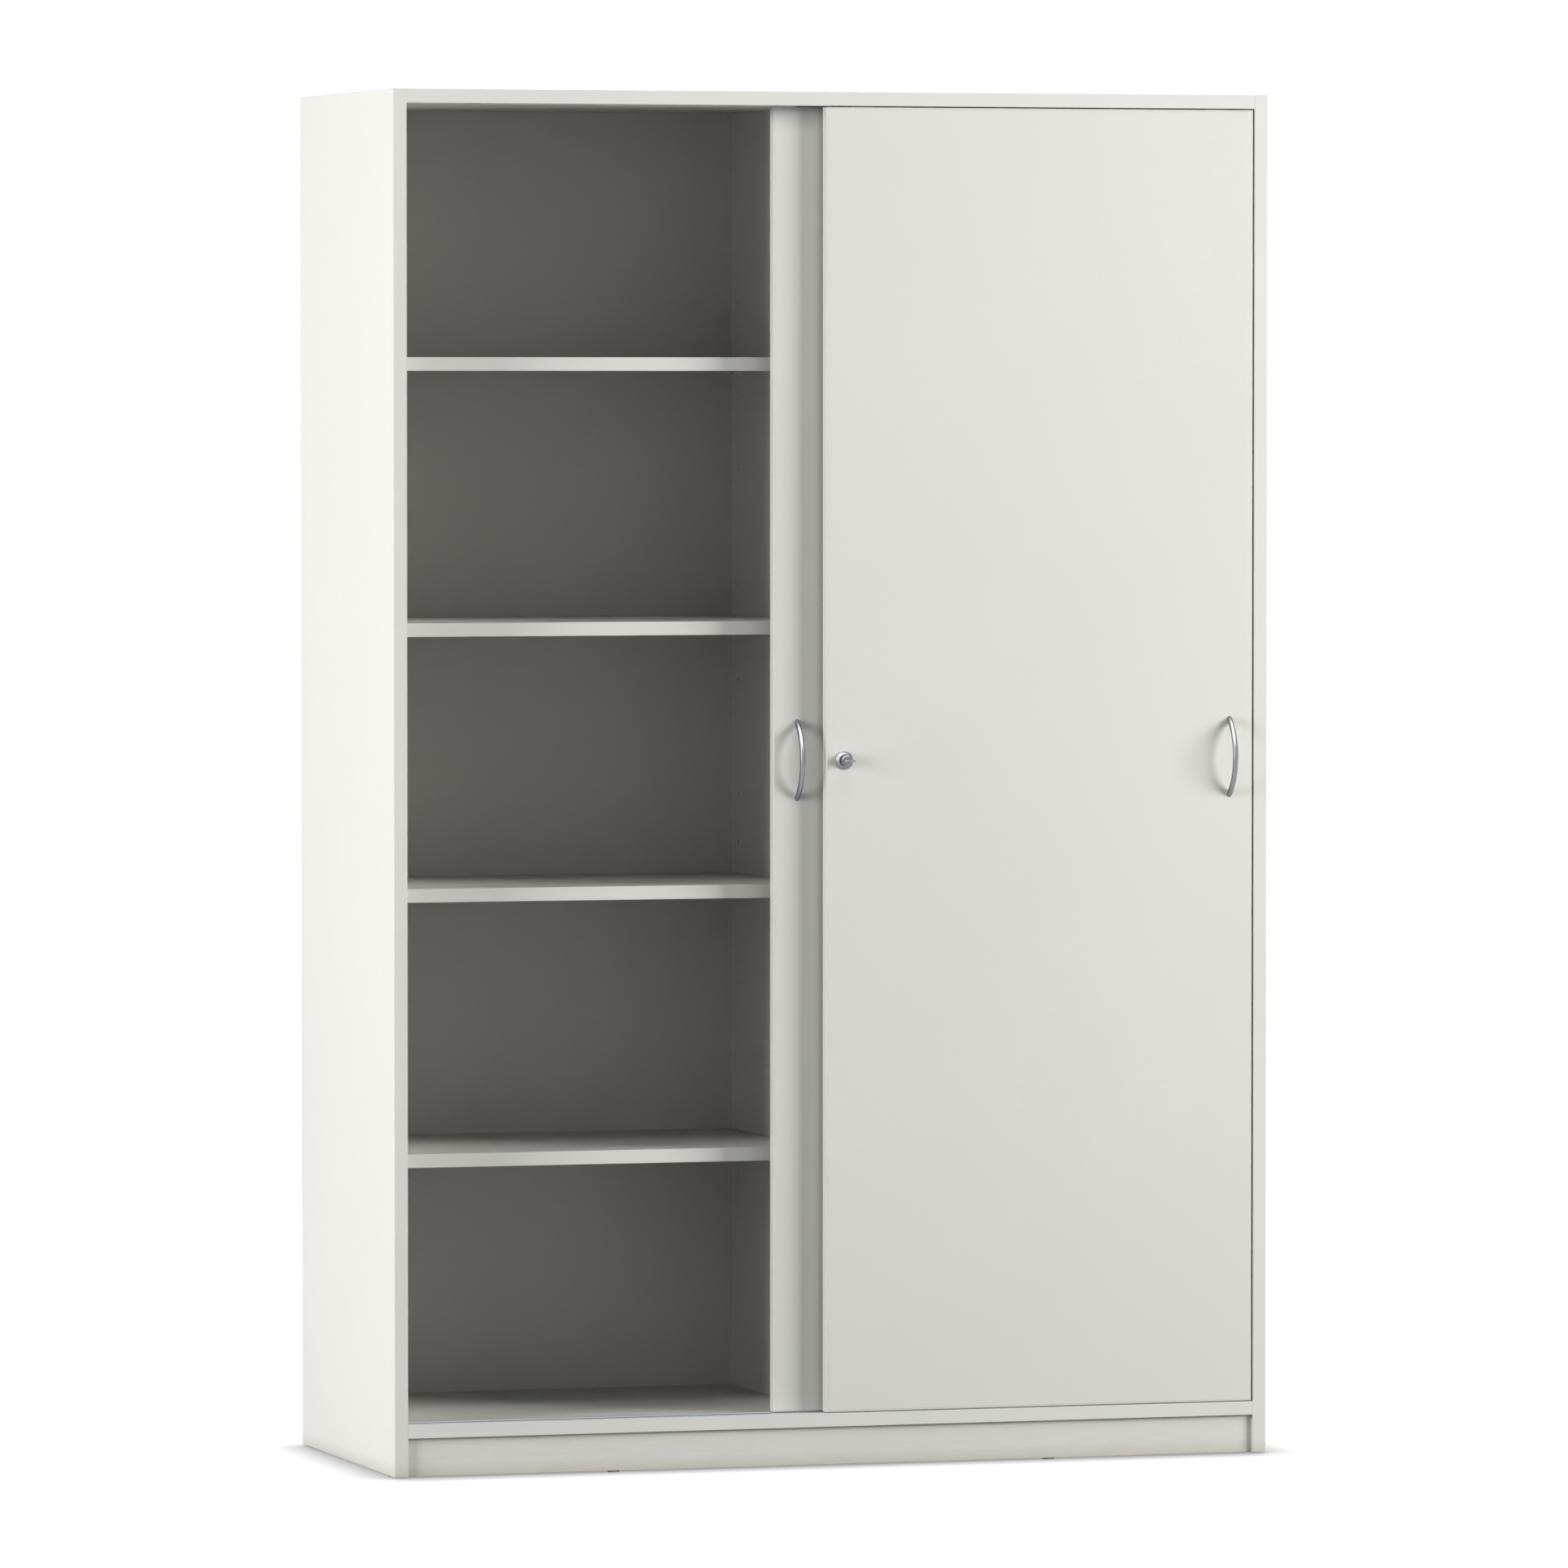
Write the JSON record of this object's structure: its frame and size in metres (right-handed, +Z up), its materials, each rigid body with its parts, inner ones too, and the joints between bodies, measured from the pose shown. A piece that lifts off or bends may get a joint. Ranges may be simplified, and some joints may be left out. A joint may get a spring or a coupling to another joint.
{
  "type": "sliding door cabinet",
  "caption": "Tall cabinet with two overlapping sliding doors on floor and head tracks, a centre partition, adjustable shelves, bow handles and a push lock with key.",
  "frame": {"origin": "on the floor, in the middle of the whole object's bounding box", "axes": "+Z up, +X to the right for a person facing the doors, +Y from the doors to the back"},
  "size_m": [1.2, 0.511, 1.807],
  "materials": {
    "white_board": "white melamine-faced chipboard, fine satin texture",
    "edge_band": "white edge band, satin",
    "dowel_wood": "plain beech",
    "track_aluminium": "natural anodised",
    "satin_steel": "satin nickel",
    "zinc_steel": "bright zinc",
    "grey_plastic": "matt",
    "glide_plastic": "matt"
  },
  "bodies": {
    "cabinet": {"plinth_front": "white_board", "plinth_rear": "white_board", "floor_glides": "glide_plastic", "side_panel_left": "white_board", "side_panel_right": "white_board", "top_panel": "white_board", "bottom_panel": "white_board", "back_panel": "white_board", "back_panel_screws": "zinc_steel", "centre_partition": "white_board", "cam_housings": "zinc_steel", "cam_bolts": "zinc_steel", "dowels": "dowel_wood", "side_edge_bands": "edge_band", "top_edge_band": "edge_band", "bottom_edge_band": "edge_band", "partition_edge_band": "edge_band", "shelf_left_1": "white_board", "shelf_left_2": "white_board", "shelf_left_3": "white_board", "shelf_left_4": "white_board", "shelf_right_1": "white_board", "shelf_right_2": "white_board", "shelf_right_3": "white_board", "shelf_right_4": "white_board", "shelf_edge_bands": "edge_band", "shelf_pins": "zinc_steel", "bottom_track": "track_aluminium", "top_track": "track_aluminium", "track_screws": "zinc_steel", "track_stops": "grey_plastic", "door_buffers": "grey_plastic"},
    "right_door": {"right_door_panel": "white_board", "right_door_edge_bands": "edge_band", "right_door_handle": "satin_steel", "right_door_handle_screws": "zinc_steel", "right_door_roller_housings": "grey_plastic", "right_door_axles": "zinc_steel", "right_door_guides": "grey_plastic", "lock_housing": "satin_steel", "lock_back_plate": "zinc_steel", "lock_plate_screws": "zinc_steel", "lock_spring": "zinc_steel"},
    "left_door": {"left_door_panel": "white_board", "left_door_edge_bands": "edge_band", "left_door_handle": "satin_steel", "left_door_handle_screws": "zinc_steel", "left_door_roller_housings": "grey_plastic", "left_door_axles": "zinc_steel", "left_door_guides": "grey_plastic", "lock_keeper": "zinc_steel", "lock_keeper_screws": "zinc_steel"},
    "right_door_wheel_1": {"right_door_wheel_1": "grey_plastic"},
    "right_door_wheel_2": {"right_door_wheel_2": "grey_plastic"},
    "left_door_wheel_1": {"left_door_wheel_1": "grey_plastic"},
    "left_door_wheel_2": {"left_door_wheel_2": "grey_plastic"},
    "lock_cylinder": {"lock_cylinder": "satin_steel"},
    "lock_plug": {"lock_plug": "satin_steel"},
    "key": {"key": "satin_steel"}
  },
  "joints": [
    {"name": "right_door_slide", "type": "slide", "parent": "cabinet", "child": "right_door", "axis": [-1, 0, 0], "range_m": [0, 0.5035]},
    {"name": "left_door_slide", "type": "slide", "parent": "right_door", "child": "left_door", "axis": [1, 0, 0], "range_m": [-0.5035, 0]},
    {"name": "lock_push", "type": "slide", "parent": "right_door", "child": "lock_cylinder", "axis": [0, 1, 0], "range_m": [0, 0.007], "stiffness_N_per_m": 400, "springref_m": -0.005, "deforming": ["lock_spring"]},
    {"name": "key_turn", "type": "hinge", "parent": "lock_cylinder", "child": "lock_plug", "pos_m": [0.012, -0.2255, 0.93], "axis": [0, 1, 0], "range_deg": [0, 90]},
    {"name": "key_withdraw", "type": "slide", "parent": "lock_plug", "child": "key", "axis": [0, -1, 0], "range_m": [0, 0.012]},
    {"name": "right_door_wheel_1_roll", "type": "hinge", "parent": "right_door", "child": "right_door_wheel_1", "pos_m": [0.05, -0.2165, 0.0778], "axis": [0, 1, 0], "continuous": true},
    {"name": "right_door_wheel_2_roll", "type": "hinge", "parent": "right_door", "child": "right_door_wheel_2", "pos_m": [0.518, -0.2165, 0.0778], "axis": [0, 1, 0], "continuous": true},
    {"name": "left_door_wheel_1_roll", "type": "hinge", "parent": "left_door", "child": "left_door_wheel_1", "pos_m": [-0.0145, -0.1905, 0.0778], "axis": [0, 1, 0], "continuous": true},
    {"name": "left_door_wheel_2_roll", "type": "hinge", "parent": "left_door", "child": "left_door_wheel_2", "pos_m": [0.4535, -0.1905, 0.0778], "axis": [0, 1, 0], "continuous": true}
  ],
  "couplings": [
    {"joint": "right_door_wheel_1_roll", "follows": "right_door_slide", "rad_per_m": -100},
    {"joint": "right_door_wheel_2_roll", "follows": "right_door_slide", "rad_per_m": -100},
    {"joint": "left_door_wheel_1_roll", "follows": "left_door_slide", "rad_per_m": 100},
    {"joint": "left_door_wheel_2_roll", "follows": "left_door_slide", "rad_per_m": 100}
  ]
}
